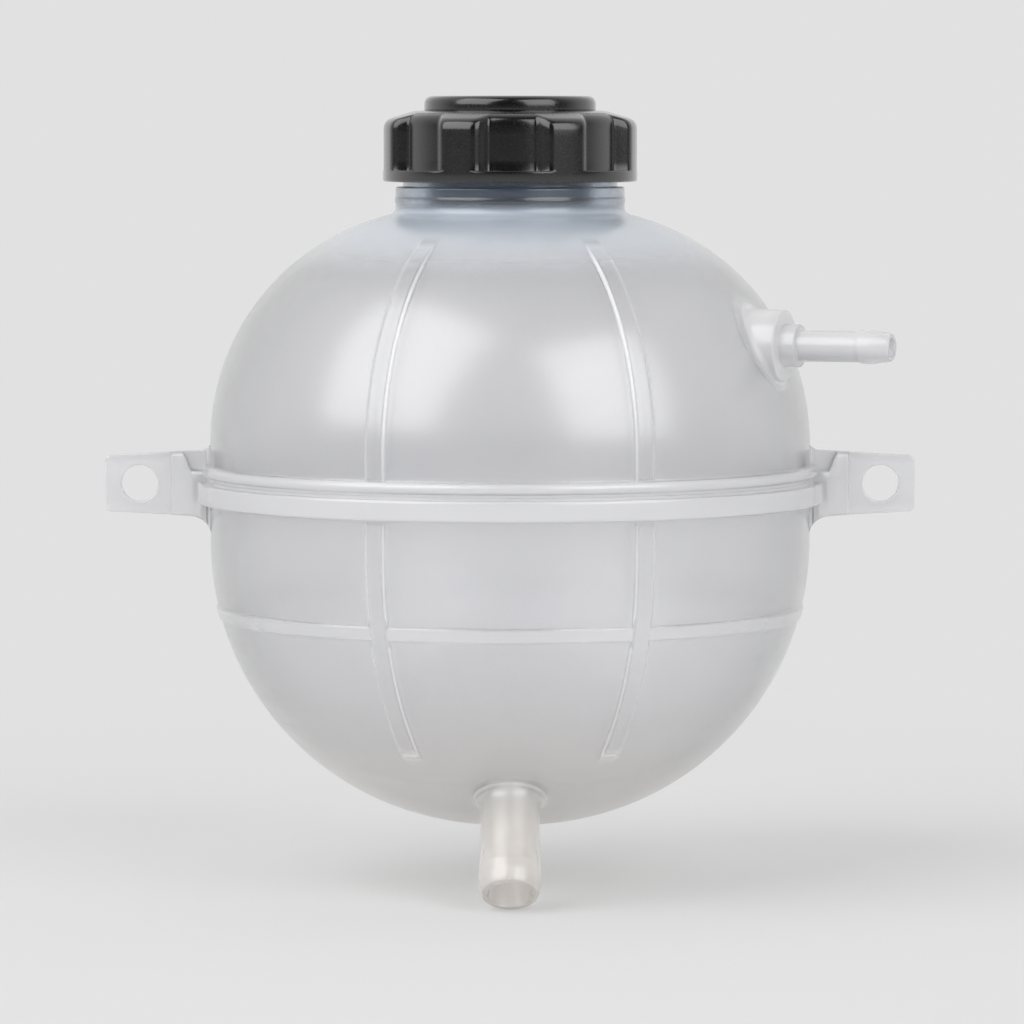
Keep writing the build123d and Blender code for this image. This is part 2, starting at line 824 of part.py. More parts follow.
# Vacuum valve stem: head below the plate, shaft through it, barb above the washer
with BuildPart() as vacuum_valve_stem:
    revolve(ring_face(0, stem_head_r, head_top_z - stem_head_t, head_top_z), axis=Axis.Z)
    revolve(ring_face(0, stem_r, head_top_z - stem_head_t / 2, washer_z + washer_t), axis=Axis.Z)
    revolve(
        ring_face(0, stem_barb_r, washer_z + washer_t, washer_z + washer_t + stem_top_len),
        axis=Axis.Z,
    )
    chamfer(vacuum_valve_stem.faces().sort_by(Axis.Z)[-1].edges(), stem_top_len / 2)
vacuum_valve_stem.part.label = "vacuum_valve_stem"
export_step(vacuum_valve_stem.part, "parts/vacuum_valve_stem.step")

# Vacuum valve seal: soft washer on the head
with BuildPart() as vacuum_valve_seal:
    revolve(
        ring_face(stem_r + fit_clear, vacuum_seal_r, head_top_z, plate_z),
        axis=Axis.Z,
    )
vacuum_valve_seal.part.label = "vacuum_valve_seal"
export_step(vacuum_valve_seal.part, "parts/vacuum_valve_seal.step")

# Vacuum spring washer, held by the barb
with BuildPart() as vacuum_spring_washer:
    revolve(
        ring_face(stem_r + fit_clear, washer_r, washer_z, washer_z + washer_t),
        axis=Axis.Z,
    )
vacuum_spring_washer.part.label = "vacuum_spring_washer"
export_step(vacuum_spring_washer.part, "parts/vacuum_spring_washer.step")

vacuum_spring = coil_spring(
    vacuum_spring_r,
    vacuum_spring_wire_r,
    plate_top_z + spring_end_clear,
    washer_z - spring_end_clear,
    vacuum_spring_turns,
)
vacuum_spring.label = "vacuum_spring"
export_step(vacuum_spring, "parts/vacuum_spring.step")
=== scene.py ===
# %% [markdown]
# # A coolant expansion tank
#
# The tank is a ball of milky natural polypropylene, injection-moulded as two halves that are
# welded round the belt. A black screw cap closes the neck and carries the valves.

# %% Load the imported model
import json

import bmesh
import bpy
import numpy as np
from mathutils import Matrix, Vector

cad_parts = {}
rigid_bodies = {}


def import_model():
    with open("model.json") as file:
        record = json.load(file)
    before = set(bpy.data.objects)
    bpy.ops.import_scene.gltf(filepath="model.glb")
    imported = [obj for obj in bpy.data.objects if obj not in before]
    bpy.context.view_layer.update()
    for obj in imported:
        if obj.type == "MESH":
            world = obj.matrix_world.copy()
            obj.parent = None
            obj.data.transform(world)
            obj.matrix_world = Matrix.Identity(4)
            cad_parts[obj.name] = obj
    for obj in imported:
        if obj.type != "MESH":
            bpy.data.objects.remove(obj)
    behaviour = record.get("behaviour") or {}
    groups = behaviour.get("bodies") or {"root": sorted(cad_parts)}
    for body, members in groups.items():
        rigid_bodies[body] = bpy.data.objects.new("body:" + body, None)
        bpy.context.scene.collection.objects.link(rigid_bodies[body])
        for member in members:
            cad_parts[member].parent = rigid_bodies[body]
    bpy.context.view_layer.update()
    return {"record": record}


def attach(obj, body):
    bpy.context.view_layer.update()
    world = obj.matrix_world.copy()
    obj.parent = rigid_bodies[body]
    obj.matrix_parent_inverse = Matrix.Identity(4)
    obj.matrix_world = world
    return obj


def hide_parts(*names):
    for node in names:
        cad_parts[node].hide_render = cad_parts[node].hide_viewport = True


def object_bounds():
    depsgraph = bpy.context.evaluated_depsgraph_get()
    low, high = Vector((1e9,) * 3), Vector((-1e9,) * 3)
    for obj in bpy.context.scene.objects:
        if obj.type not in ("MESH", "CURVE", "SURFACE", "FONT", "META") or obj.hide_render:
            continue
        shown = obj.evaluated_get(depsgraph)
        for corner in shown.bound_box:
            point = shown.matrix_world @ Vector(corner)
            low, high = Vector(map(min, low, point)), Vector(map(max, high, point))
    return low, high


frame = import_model()

# %% [markdown]
# ## The drawing's sizes
#
# The dressed surfaces start from the same numbers as the CAD source, in millimetres, so they
# lie where the solids lie. In a name, _r stands for a radius and _z for a height above the
# origin.

# %% Sizes of the tank in millimetres
ball_r, wall = 78.0, 3.0
dome_arc_r, dome_spring_z = 60.8, 10.7
bowl_arc_r, bowl_spring_z = 73.8, -15.0
seam_z, seam_gap = 1.3, 0.02
weld_r, bead_r, bead_low_z, bead_high_z = 79.3, 80.3, 2.0, 4.9
band_r, band_high_z, band_low_z = 81.4, 0.6, -4.7
strap_angles = np.radians([-115.4, -64.6, 64.6, 115.4])
strap_low_z, strap_high_z, strap_proud, strap_fade = -67.5, 64.7, 0.95, 4.5
ring_z, ring_h, ring_proud, ring_slope = -33.3, 3.4, 0.5, 0.45
collar_r, collar_top_z, shoulder_round = 29.75, 77.1, 2.2
ridge_z, ridge_proud, ridge_crest, ridge_foot = 73.7, 0.2, 0.35, 0.9
guide_r, guide_top_z = 27.9, 78.9
neck_r, neck_bore_r, neck_foot_z, rim_z = 26.0, 22.5, 70.0, 88.5
thread_lead, thread_starts, thread_depth = 6.0, 2, 1.5
thread_foot, thread_flank, neck_crest_z = 0.8, 0.45, 80.0
vent_turn, vent_z, vent_tip = np.radians(-23), 37.0, 105.0
vent_axis = (np.cos(vent_turn), np.sin(vent_turn), 0.0)
outlet_lean, outlet_y, outlet_tip = np.radians(40), -43.3, 28.7
outlet_axis = (0.0, -np.sin(outlet_lean), -np.cos(outlet_lean))

# %% [markdown]
# ## Paths, and the surfaces they sweep
#
# Nearly everything on this tank is round about an axis, so a profile carried round it is
# the natural surface. A profile is a list of corners, each with a rounding, because no
# moulded edge is truly sharp. The grid of points is worked out as one array, so it stays
# quick at any density.


# %% Profiles: rounded corners, arcs and finer steps
def rounded(corners, steps=4):
    """A path through corners (r, z, rounding).

    Each corner becomes a parabola (1-t)^2 A + 2t(1-t) C + t^2 B, where C is the corner and
    A and B lie on its two runs, one rounding away from it.
    """
    corners = np.array(corners, float)
    places, size = corners[:, :2], corners[:, 2]
    path = []
    for number, place in enumerate(places):
        if size[number] == 0 or number in (0, len(places) - 1):
            path.append(place[None])
            continue
        back = places[number - 1] - place
        ahead = places[number + 1] - place
        start = place + size[number] * back / np.linalg.norm(back)
        end = place + size[number] * ahead / np.linalg.norm(ahead)
        t = np.linspace(0, 1, steps + 1)[:, None]
        path.append((1 - t) ** 2 * start + 2 * t * (1 - t) * place + t**2 * end)
    return np.concatenate(path)


def arc(centre, radius, start, stop, steps):
    """Points centre + radius (cos a, sin a), with a in degrees from start to stop."""
    turn = np.radians(np.linspace(start, stop, steps))
    return np.stack([centre[0] + radius * np.cos(turn), centre[1] + radius * np.sin(turn)], 1)


def finer(path, step):
    """The same path with evenly spaced points added, so that no run is longer than step."""
    span = np.linalg.norm(np.diff(path, axis=0), axis=1)
    count = np.maximum(1, np.ceil(span / step)).astype(int)
    run = np.repeat(np.arange(len(span)), count)
    share = (np.arange(count.sum()) - np.repeat(np.cumsum(count) - count, count)) / count[run]
    inner = path[run] + share[:, None] * (path[run + 1] - path[run])
    return np.vstack([inner, path[-1:]])


def path_normals(path):
    """Unit normals (dz, -dr) of a path, on its right-hand side."""
    run = np.gradient(path, axis=0)
    normal = np.stack([run[:, 1], -run[:, 0]], 1)
    return normal / np.maximum(np.linalg.norm(normal, axis=1, keepdims=True), 1e-9)


def turned(path, angles):
    """Surface of revolution, a row for each point (r, z): x = r cos a, y = r sin a, z = z."""
    r, z = path[:, :1], path[:, 1:2]
    return np.stack([r * np.cos(angles), r * np.sin(angles), z + 0 * angles], -1)


full_turn = np.linspace(0, 2 * np.pi, 193)[:-1]


def ball_radius(z):
    """Radius of the ball at height z: the belt, or the arc of the dome or of the bowl."""
    up = np.clip(z - dome_spring_z, 0, dome_arc_r)
    down = np.clip(bowl_spring_z - z, 0, bowl_arc_r)
    dome = ball_r - dome_arc_r + np.sqrt(dome_arc_r**2 - up**2)
    bowl = ball_r - bowl_arc_r + np.sqrt(bowl_arc_r**2 - down**2)
    return np.minimum(dome, bowl)


print("points on a rounded square corner:", len(rounded([(0, 0, 0), (5, 0, 1), (5, 5, 0)])))


# %% [markdown]
# ## From a grid to a mesh
#
# A grid of points becomes quads between neighbours. Its columns go round, and so do its rows
# where asked. Doubled points at poles are merged, and the signed volume tells whether the
# faces look outward. Edges that fold by more than some 30 degrees stay crisp.


# %% Skin a grid, fuse shapes, finish a piece
def skin(name, grid, ring_rows=False):
    """Quads between the points of one grid (rows, columns, 3) in millimetres."""
    rows, columns = grid.shape[:2]
    index = np.arange(rows * columns).reshape(rows, columns)
    if ring_rows:
        index = np.vstack([index, index[:1]])
    index = np.hstack([index, index[:, :1]])
    quads = np.stack([index[:-1, :-1], index[:-1, 1:], index[1:, 1:], index[1:, :-1]], -1)
    mesh = bpy.data.meshes.new(name)
    mesh.from_pydata((grid.reshape(-1, 3) / 1000).tolist(), [], quads.reshape(-1, 4).tolist())
    shape = bmesh.new()
    shape.from_mesh(mesh)
    bmesh.ops.remove_doubles(shape, verts=shape.verts, dist=2e-6)
    bmesh.ops.dissolve_degenerate(shape, edges=shape.edges, dist=1e-7)
    if shape.calc_volume(signed=True) < 0:
        bmesh.ops.reverse_faces(shape, faces=shape.faces)
    shape.to_mesh(mesh)
    shape.free()
    piece = bpy.data.objects.new(name, mesh)
    bpy.context.scene.collection.objects.link(piece)
    return piece


def combine(piece, other, operation):
    """Fuses other with piece, or cuts it out of piece, and removes other."""
    modifier = piece.modifiers.new(operation, "BOOLEAN")
    modifier.operation = operation
    modifier.solver = "MANIFOLD"
    modifier.object = other
    bpy.context.view_layer.update()
    seen = piece.evaluated_get(bpy.context.evaluated_depsgraph_get())
    mesh = bpy.data.meshes.new_from_object(seen)
    piece.modifiers.clear()
    piece.data = mesh
    bpy.data.objects.remove(other)


def note_milk(piece):
    """Point attribute "milk": 0.05 on the neck, 0.12 on the 3 mm wall, 1 where massive.

    Thick natural plastic looks whiter, because light scatters in it longer. So the value
    rises with the distance outside the ball: r minus the ball's radius, times the cosine of
    the wall's slope. That finds flange, lugs and stub. Bottom, boss and shoulder get theirs
    by place, up to 1.9 close under the collar. The sloped edges of straps and level ring
    let out the light that runs along inside the wall, so they count as thick too.
    """
    count = len(piece.data.vertices)
    place = np.empty(3 * count, np.float32)
    piece.data.vertices.foreach_get("co", place)
    x, y, z = 1000 * place.astype(float).reshape(-1, 3).T
    rise = np.clip((z - dome_spring_z) / dome_arc_r, 0, 1)
    fall = np.clip((bowl_spring_z - z) / bowl_arc_r, 0, 1)
    proud = (np.hypot(x, y) - ball_radius(z)) * np.sqrt(1 - np.maximum(rise, fall) ** 2)
    below = bowl_spring_z - bowl_arc_r - z
    sloped = smooth_step(proud, 0.05, 0.4) * (1 - smooth_step(proud, 0.6, strap_proud))
    along = x * vent_axis[0] + y * vent_axis[1]
    aside = np.hypot(y * vent_axis[0] - x * vent_axis[1], z - vent_z)
    on_boss = (1 - smooth_step(aside, 9, 13)) * (along > 55)
    thick = np.max([
        sloped * np.where(np.abs(z - ring_z) < ring_h, 0.63, 1.25),
        smooth_step(proud, 0.98, 1.3),
        smooth_step(below, -2.0, 2.0),
        smooth_step(z, 54, 67),
        0.8 * smooth_step(-z, 50, 88),
        on_boss * np.where(along < 79, 1.3, 1.1),
    ], axis=0)
    thick = thick + smooth_step(z, 54, 69)
    milk = 0.05 + (0.07 + 0.88 * thick) * (1 - smooth_step(z, 70, 73.5))
    layer = piece.data.attributes.new("milk", "FLOAT", "POINT")
    layer.data.foreach_set("value", milk.astype(np.float32))


def finish_piece(piece, material, body, nodes, crease=32):
    """Smooth shading with crisp folds, one material, a body to ride on, nodes to replace."""
    piece.data.shade_smooth()
    piece.data.set_sharp_from_angle(angle=np.radians(crease))
    piece.data.materials.clear()
    piece.data.materials.append(material)
    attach(piece, body)
    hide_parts(*nodes)
    shape = bmesh.new()
    shape.from_mesh(piece.data)
    loose = sum(1 for edge in shape.edges if len(edge.link_faces) != 2)
    faces = sum(len(face.verts) - 2 for face in shape.faces)
    shape.free()
    print(f"{piece.name}: {faces} triangles, {loose} open edges")


# %% [markdown]
# ## Finishes
#
# Each material starts from what the real one is. Colours are written as they look on a
# screen, in sRGB, and one function turns them into the linear light that a shader counts in.
# One small helper adds any node with its settings and links.


# %% Colour and node helpers
def paint(code):
    """Linear colour of an sRGB hex code: ((c + 0.055) / 1.055)^2.4, or c / 12.92 when dark."""
    value = np.array([int(code[place : place + 2], 16) for place in (1, 3, 5)]) / 255
    linear = np.where(value > 0.04045, ((value + 0.055) / 1.055) ** 2.4, value / 12.92)
    return (*linear.tolist(), 1.0)


def add_node(tree, kind, inputs=None, **settings):
    """Adds a node; inputs maps a socket's name or number to a value or an output socket."""
    node = tree.nodes.new(kind)
    for name, value in settings.items():
        setattr(node, name, value)
    for name, value in (inputs or {}).items():
        if isinstance(value, bpy.types.NodeSocket):
            tree.links.new(value, node.inputs[name])
        else:
            node.inputs[name].default_value = value
    return node


def new_finish(name, **sockets):
    """A material with one Principled shader, whose constant sockets are set here."""
    material = bpy.data.materials.new(name)
    material.use_nodes = True
    tree = material.node_tree
    shader = tree.nodes["Principled BSDF"]
    for socket, value in sockets.items():
        shader.inputs[socket.replace("_", " ")].default_value = value
    place = add_node(tree, "ShaderNodeTexCoord").outputs["Object"]
    return material, tree, shader, place


def per_mm(size):
    """Noise scale for a pattern whose grains are that many millimetres wide."""
    return 1000 / size


# %% [markdown]
# ### Moulded natural polypropylene
#
# Polypropylene without pigment is milky: its crystals scatter light, so a wall of 3 mm lets
# light through but blurs all that is behind it. A Principled shader says that with a high
# transmission and some roughness; the rest is its diffuse share, the milk. The mould was
# sand-blasted, which leaves a satin skin, and the melt leaves faint clouds as it flows. The
# tone is a little warm at the bottom. Towards the neck the colour is painted blue-grey and
# darker: painted shade under the cap, standing in for the blue valve housing seen through
# the wall.

# %% Finish: moulded natural polypropylene
natural_pp, tree, shader, place = new_finish(
    "moulded natural polypropylene",
    IOR=1.49,
    Coat_Weight=1.0,
    Coat_Roughness=0.27,
    Coat_IOR=1.49,
)
cloud = add_node(
    tree,
    "ShaderNodeTexNoise",
    {"Vector": place, "Scale": per_mm(38), "Detail": 3.0, "Roughness": 0.55},
)
height = add_node(tree, "ShaderNodeSeparateXYZ", {0: place})
warmth = add_node(
    tree,
    "ShaderNodeMapRange",
    {"Value": height.outputs["Z"], "From Min": -0.092, "From Max": -0.045},
    interpolation_type="SMOOTHSTEP",
)
tint = add_node(
    tree,
    "ShaderNodeMix",
    {0: warmth.outputs["Result"], 6: paint("#FDF7F0"), 7: paint("#F8F8FC")},
    data_type="RGBA",
)
tone = add_node(
    tree,
    "ShaderNodeMix",
    {0: cloud.outputs["Fac"], 6: tint.outputs[2], 7: paint("#FBFBFB")},
    data_type="RGBA",
)
# Painted shade: towards the neck the wall's colour turns blue-grey and darker, standing in for the
# cap's shade and the blue housing seen through the wall.
on_neck = add_node(
    tree,
    "ShaderNodeMapRange",
    {"Value": height.outputs["Z"], "From Min": 0.054, "From Max": 0.0725},
    interpolation_type="SMOOTHSTEP",
)
neck_painted_shade = add_node(
    tree,
    "ShaderNodeMix",
    {0: on_neck.outputs["Result"], 6: tone.outputs[2], 7: paint("#C8D3E0")},
    data_type="RGBA",
)
tree.links.new(neck_painted_shade.outputs[2], shader.inputs["Base Color"])
milk = add_node(tree, "ShaderNodeAttribute", attribute_name="milk")
blur = add_node(
    tree,
    "ShaderNodeMapRange",
    {"Value": milk.outputs["Fac"], "From Max": 0.12, "To Min": 0.13, "To Max": 0.20},
)
haze = add_node(
    tree,
    "ShaderNodeMath",
    {0: cloud.outputs["Fac"], 1: 0.08, 2: blur.outputs["Result"]},
    operation="MULTIPLY_ADD",
)
tree.links.new(haze.outputs["Value"], shader.inputs["Roughness"])
clear = add_node(
    tree,
    "ShaderNodeMapRange",
    {"Value": milk.outputs["Fac"], "From Max": 2.0, "To Min": 0.98, "To Max": 0.10},
)
tree.links.new(clear.outputs["Result"], shader.inputs["Transmission Weight"])
skin_noise = add_node(
    tree,
    "ShaderNodeTexNoise",
    {"Vector": place, "Scale": per_mm(2.4), "Detail": 2.0},
)
skin_bump = add_node(
    tree,
    "ShaderNodeBump",
    {"Height": skin_noise.outputs["Fac"], "Strength": 0.08, "Distance": 0.0002},
)
for socket in ("Normal", "Coat Normal"):
    tree.links.new(skin_bump.outputs["Normal"], shader.inputs[socket])

# %% [markdown]
# ### Moulded black polypropylene
#
# The cap's mould was spark-eroded, which leaves a pebbled grain finer than a millimetre. It
# breaks up the gloss, so black reads as soft grey where the light falls.

# %% Finish: moulded black polypropylene
black_pp, tree, shader, place = new_finish(
    "moulded black polypropylene", IOR=1.49, Coat_Weight=1.0, Coat_Roughness=0.15
)
grain = add_node(
    tree,
    "ShaderNodeTexNoise",
    {"Vector": place, "Scale": per_mm(0.7), "Detail": 4.0, "Roughness": 0.6},
)
wear = add_node(
    tree,
    "ShaderNodeTexNoise",
    {"Vector": place, "Scale": per_mm(9), "Detail": 3.0},
)
tone = add_node(
    tree,
    "ShaderNodeMix",
    {0: wear.outputs["Fac"], 6: paint("#070708"), 7: paint("#0D0D0E")},
    data_type="RGBA",
)
tree.links.new(tone.outputs[2], shader.inputs["Base Color"])
gloss = add_node(
    tree,
    "ShaderNodeMapRange",
    {"Value": grain.outputs["Fac"], "From Min": 0.3, "From Max": 0.7, "To Min": 0.2, "To Max": 0.3},
)
tree.links.new(gloss.outputs["Result"], shader.inputs["Roughness"])
grain_bump = add_node(
    tree,
    "ShaderNodeBump",
    {"Height": grain.outputs["Fac"], "Strength": 0.15, "Distance": 0.0001},
)
tree.links.new(grain_bump.outputs["Normal"], shader.inputs["Normal"])

# %% [markdown]
# ### Nylon, rubber and spring wire
#
# The valve insert is glass-filled nylon, dark blue-grey, with a faint mottle from the glass.
# Its housing is painted pale below the collar's middle: painted light that stands in for the
# glow seen through the wall under the neck. The seals are EPDM rubber, dull and nearly black.
# The springs are drawn stainless wire with a soft shine.


# %% Finishes: nylon, rubber, spring wire
def mottled(name, dark, light, grain_mm, roughness, bump_mm, **sockets):
    """A finish whose colour and height follow one noise of a stated grain."""
    material, tree, shader, place = new_finish(name, Roughness=roughness, **sockets)
    noise = add_node(
        tree, "ShaderNodeTexNoise", {"Vector": place, "Scale": per_mm(grain_mm), "Detail": 3.0}
    )
    tone = add_node(
        tree,
        "ShaderNodeMix",
        {0: noise.outputs["Fac"], 6: paint(dark), 7: paint(light)},
        data_type="RGBA",
    )
    bump = add_node(
        tree,
        "ShaderNodeBump",
        {"Height": noise.outputs["Fac"], "Strength": 0.4, "Distance": bump_mm / 1000},
    )
    tree.links.new(tone.outputs[2], shader.inputs["Base Color"])
    tree.links.new(bump.outputs["Normal"], shader.inputs["Normal"])
    return material


grey_nylon = mottled(
    "moulded glass-filled nylon", "#38506E", "#446080", 1.2, 0.45, 0.05, IOR=1.53
)
# Painted light: below the collar's middle the housing is painted pale, standing in for the glow
# seen through the wall under the neck.
nylon_painted_pale_below = grey_nylon.copy()
nylon_painted_pale_below.name = "moulded nylon with painted light below"
tree = nylon_painted_pale_below.node_tree
shader = tree.nodes["Principled BSDF"]
place = tree.nodes["Texture Coordinate"].outputs["Object"]
height = add_node(tree, "ShaderNodeSeparateXYZ", {0: place})
above_painted_light = add_node(
    tree,
    "ShaderNodeMapRange",
    {"Value": height.outputs["Z"], "From Min": 0.0715, "From Max": 0.0725},
)
tone = add_node(
    tree,
    "ShaderNodeMix",
    {
        0: above_painted_light.outputs["Result"],
        6: paint("#DCE8F6"),
        7: shader.inputs["Base Color"].links[0].from_socket,
    },
    data_type="RGBA",
)
tree.links.new(tone.outputs[2], shader.inputs["Base Color"])
black_rubber = mottled("moulded EPDM rubber", "#17181A", "#222325", 0.8, 0.6, 0.05, IOR=1.52)
spring_steel = mottled(
    "drawn stainless spring wire", "#A9AAAC", "#C6C7C9", 0.5, 0.28, 0.01, Metallic=1.0
)
print("finishes:", [material.name for material in bpy.data.materials])

# %% [markdown]
# ## The straps that run over the ball
#
# Four thin ribs run from pole to pole. A rib 5 mm wide covers a growing angle towards the
# poles, so the columns of the grid are not evenly spaced meridians: they follow the edges of
# the ribs. That keeps each edge crisp without a dense mesh elsewhere.


# %% Columns beside the straps
def smooth_step(value, low, high):
    """0 below low, 1 above high, and 3t^2 - 2t^3 between them."""
    t = np.clip((value - low) / (high - low), 0, 1)
    return t * t * (3 - 2 * t)


column_step = np.radians(1.8)
beside = np.array([3.7, 3.2, 3.05, 2.9, 2.75, 2.6, 2.45, 2.3, 2.15, 2.0, 1.8, 1.6, 0.8])
beside = np.concatenate([-beside, [0], beside[::-1]])
strap_rise = 1 - smooth_step(np.abs(beside), 1.65, 3.15)


def strap_columns(radius):
    """Angles for each row, and the share of a strap's height in each column.

    A column s mm beside the middle of a strap at angle a lies at a + arcsin(s / r), where r
    is never less than the neck's. The columns between two straps share what is left evenly.
    """
    spread = np.arcsin(beside / np.maximum(radius, neck_r)[:, None])
    next_strap = np.append(strap_angles[1:], strap_angles[0] + 2 * np.pi)
    angles, rise = [], []
    for middle, following in zip(strap_angles, next_strap):
        share = np.linspace(0, 1, int((following - middle) / column_step))[1:-1]
        start, end = middle + spread[:, -1:], following + spread[:, :1]
        angles += [middle + spread, start + share * (end - start)]
        rise += [strap_rise, 0 * share]
    return np.concatenate(angles, 1), np.concatenate(rise)


def raised(path, angles, height):
    """The turned surface moved out along the profile's normals by height (row, column)."""
    normal = path_normals(path)
    r = path[:, :1] + normal[:, :1] * height
    z = path[:, 1:2] + normal[:, 1:2] * height
    return np.stack([r * np.cos(angles), r * np.sin(angles), z + 0 * angles], -1)


print("columns round the ball:", strap_columns(np.array([ball_r]))[0].shape[1])

# %% [markdown]
# ## Upper half: dome, weld bead, shoulder and threaded neck
#
# One closed profile goes up the outside, over the rim of the neck, down its bore and back
# along the inner wall, so the half has its true wall of 3 mm and light bends in it twice.
# The neck's thread is a ridge whose height depends on z minus the lead times the angle.

# %% Upper half: profile
dome_centre_r = ball_r - dome_arc_r
shoulder_reach = dome_arc_r + shoulder_round
shoulder = np.array([collar_r + shoulder_round, 0.0])
shoulder[1] = dome_spring_z + np.sqrt(shoulder_reach**2 - (shoulder[0] - dome_centre_r) ** 2)
touch = np.degrees(np.arctan2(shoulder[1] - dome_spring_z, shoulder[0] - dome_centre_r))
seam_top = seam_z + seam_gap / 2
bead_round = 1.45
bead_centre = (bead_r - bead_round, (bead_low_z + bead_high_z) / 2)
bead_foot = [(ball_r - wall, seam_top, 0), (weld_r, seam_top, 0.12), (weld_r, bead_low_z, 0)]
bead_head = [(bead_centre[0], bead_high_z, 0), (ball_r, bead_high_z, 0.5), (ball_r, 7, 0)]
inner_touch = np.degrees(np.arccos((neck_bore_r - dome_centre_r) / (dome_arc_r - wall)))
neck_corners = [
    (collar_r, shoulder[1], 0),
    (collar_r, ridge_z - ridge_foot, 0.2),
    (collar_r + ridge_proud, ridge_z - ridge_crest, 0.25),
    (collar_r + ridge_proud, ridge_z + ridge_crest, 0.25),
    (collar_r, ridge_z + ridge_foot, 0.2),
    (collar_r, collar_top_z, 0.5),
    (guide_r, collar_top_z, 0.3),
    (guide_r, guide_top_z, 0.4),
    (neck_r, guide_top_z, 0.3),
    (neck_r, rim_z, 0.6),
    (neck_bore_r, rim_z, 0.5),
    (neck_bore_r, rim_z - 2, 0),
]
neck_bore = np.array([(neck_bore_r, rim_z - 2), (neck_bore_r, neck_foot_z)])
upper_rows = [
    rounded(bead_foot),
    arc(bead_centre, bead_round, -68, 90, 14),
    rounded(bead_head)[1:],
    arc((dome_centre_r, dome_spring_z), dome_arc_r, 0, touch, 76),
    arc(shoulder, shoulder_round, touch + 180, 180, 7)[1:],
    finer(rounded(neck_corners), 0.35)[1:],
    finer(neck_bore, 1.5)[1:],
    arc((dome_centre_r, dome_spring_z), dome_arc_r - wall, inner_touch, 0, 28),
]
upper_path = np.concatenate(upper_rows)
print("rows of the upper half:", [len(rows) for rows in upper_rows])


# %% Upper half: surface
def thread_ridge(z, angles, crest_z):
    """Height share of a right-hand thread: a trapezoid over the phase of z - lead a / 2 pi."""
    pitch = thread_lead / thread_starts
    phase = (z - crest_z - thread_lead * angles / (2 * np.pi)) % pitch
    away = np.minimum(phase, pitch - phase)
    return np.clip((thread_foot - away) / thread_flank, 0, 1)


angles, strap_share = strap_columns(upper_path[:, 0])
row_z = upper_path[:, 1:2]
dome_start = sum(len(rows) for rows in upper_rows[:2]) + 2
dome_end = dome_start + len(upper_rows[3]) + 6
on_dome = np.zeros((len(upper_path), 1))
on_dome[dome_start:dome_end] = 1
fade = 1 - smooth_step(row_z, strap_high_z - strap_fade, strap_high_z)
upper_height = strap_proud * on_dome * fade * strap_share
on_neck = (np.abs(upper_path[:, :1] - neck_r) < 0.02) & (row_z > guide_top_z)
ends = smooth_step(row_z, 79.3, 80.6) * (1 - smooth_step(row_z, 86.4, 87.6))
thread = thread_ridge(row_z, angles, neck_crest_z)
upper_height = upper_height + on_neck * thread_depth * ends * thread
upper_half = skin("upper_shell_skin", raised(upper_path, angles, upper_height), ring_rows=True)
print("upper half in mm:", [round(1000 * size, 1) for size in upper_half.dimensions])

# %% [markdown]
# ## Lower half: bowl, flat weld band and level ring
#
# The lower profile starts and ends on the axis. The band is the widest part of the flange.
# The level ring is a shallow step round the bowl, and where a strap crosses it, the higher
# of the two wins, as it does in a milled mould.

# %% Lower half: profile and surface
seam_low = seam_z - seam_gap / 2
ring_edges = ring_z + np.array([[-0.5], [0.5]]) * ring_h
ring_rows = (ring_edges + np.linspace(-ring_slope, ring_slope, 6)).ravel()
ring_turns = -np.degrees(np.arcsin((bowl_spring_z - ring_rows) / bowl_arc_r))
bowl_turns = np.union1d(np.linspace(-90, 0, 110), ring_turns)
bowl_centre = np.array([ball_r - bowl_arc_r, bowl_spring_z])
turn = np.radians(bowl_turns)
bowl_outside = bowl_centre + bowl_arc_r * np.stack([np.cos(turn), np.sin(turn)], 1)
band_corners = [
    (ball_r, bowl_spring_z, 0),
    (ball_r, band_low_z, 0.5),
    (band_r, band_low_z, 0.75),
    (band_r, band_high_z, 0.75),
    (weld_r, band_high_z, 0.12),
    (weld_r, seam_low, 0.12),
    (ball_r - wall, seam_low, 0),
]
lower_path = np.concatenate([
    [(0, bowl_spring_z - bowl_arc_r)],
    bowl_outside,
    finer(rounded(band_corners), 1.2)[1:],
    arc(bowl_centre, bowl_arc_r - wall, 0, -90, 50),
    [(0, bowl_spring_z - bowl_arc_r + wall)],
])
angles, strap_share = strap_columns(lower_path[:, 0])
row_z = lower_path[:, 1:2]
outside = np.arange(len(lower_path))[:, None] <= len(bowl_outside) + 8
outside = outside & (lower_path[:, :1] > 0) & (row_z < band_low_z - 0.2)
fade = smooth_step(row_z, strap_low_z, strap_low_z + strap_fade)
strap_height = strap_proud * strap_share * fade
ring_away = np.abs(row_z - ring_z)
ring_fade = smooth_step(ring_away, ring_h / 2 - ring_slope, ring_h / 2 + ring_slope)
lower_height = outside * np.maximum(strap_height, ring_proud * (1 - ring_fade))
lower_half = skin("lower_shell_skin", raised(lower_path, angles, lower_height))
print("lower half in mm:", [round(1000 * size, 1) for size in lower_half.dimensions])

# %% [markdown]
# ## Side lugs
#
# A lug is a flat plate with a hole, a web that flows into the ball, and a gusset. The plate
# is a ring: each ray from the hole's centre goes from the hole's wall to the outline. Web
# and gusset are lofts, rounded rectangles carried along X with a changing width and height.

